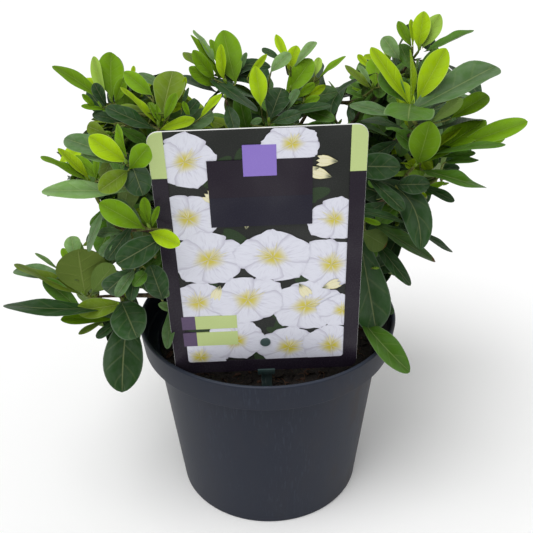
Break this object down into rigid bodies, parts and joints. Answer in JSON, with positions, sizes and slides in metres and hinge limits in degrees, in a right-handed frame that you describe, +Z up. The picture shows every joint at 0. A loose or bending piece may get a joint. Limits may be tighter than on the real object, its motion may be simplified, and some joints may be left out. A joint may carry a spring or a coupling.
{
  "type": "evergreen azalea shrub in a nursery pot",
  "caption": "Low bushy evergreen azalea out of flower, in a round tapered plastic nursery pot, with a plain picture label standing in the compost.",
  "frame": {"origin": "centre of the pot's flat underside", "axes": "+Z up through the pot's axis; -Y towards the side that the picture label faces; +X to the right of someone who looks at the label"},
  "size_m": [0.299, 0.2361, 0.323],
  "materials": {
    "leaf_young": "satin, bright yellow-green",
    "leaf_mature": "satin, dark green with a greyish sheen",
    "bark": "rough brown bark, smoother and greener on the twigs",
    "pot_plastic": "satin charcoal plastic with faint scuffs",
    "compost": "nearly black moist peat with bark chips and fibres",
    "card_print": "glossy printed sheet plastic",
    "stick_plastic": "dark blue-green moulded plastic"
  },
  "bodies": {
    "root": {"pot": "pot_plastic", "compost": "compost", "trunk": "bark", "bough_left_low": "bark", "bough_left_mid": "bark", "bough_left_high": "bark", "bough_side_left": "bark", "bough_top_left": "bark", "bough_top_right": "bark", "bough_right_high": "bark", "bough_right_front": "bark", "bough_right_mid": "bark", "bough_right_low": "bark", "bough_side_right": "bark", "bough_back_left": "bark", "bough_back_mid": "bark", "bough_back_right": "bark", "bough_back_low_left": "bark", "bough_back_low_right": "bark", "foliage_left_low": "leaf_mature", "foliage_left_mid": "leaf_young", "foliage_left_high": "leaf_young", "foliage_side_left": "leaf_mature", "foliage_top_left": "leaf_young", "foliage_top_right": "leaf_young", "foliage_right_high": "leaf_young", "foliage_right_front": "leaf_young", "foliage_right_mid": "leaf_young", "foliage_right_low": "leaf_mature", "foliage_side_right": "leaf_mature", "foliage_back_left": "leaf_mature", "foliage_back_mid": "leaf_mature", "foliage_back_right": "leaf_mature", "foliage_back_low_left": "leaf_mature", "foliage_back_low_right": "leaf_mature", "label_card": "card_print", "label_stick": "stick_plastic"}
  },
  "joints": []
}
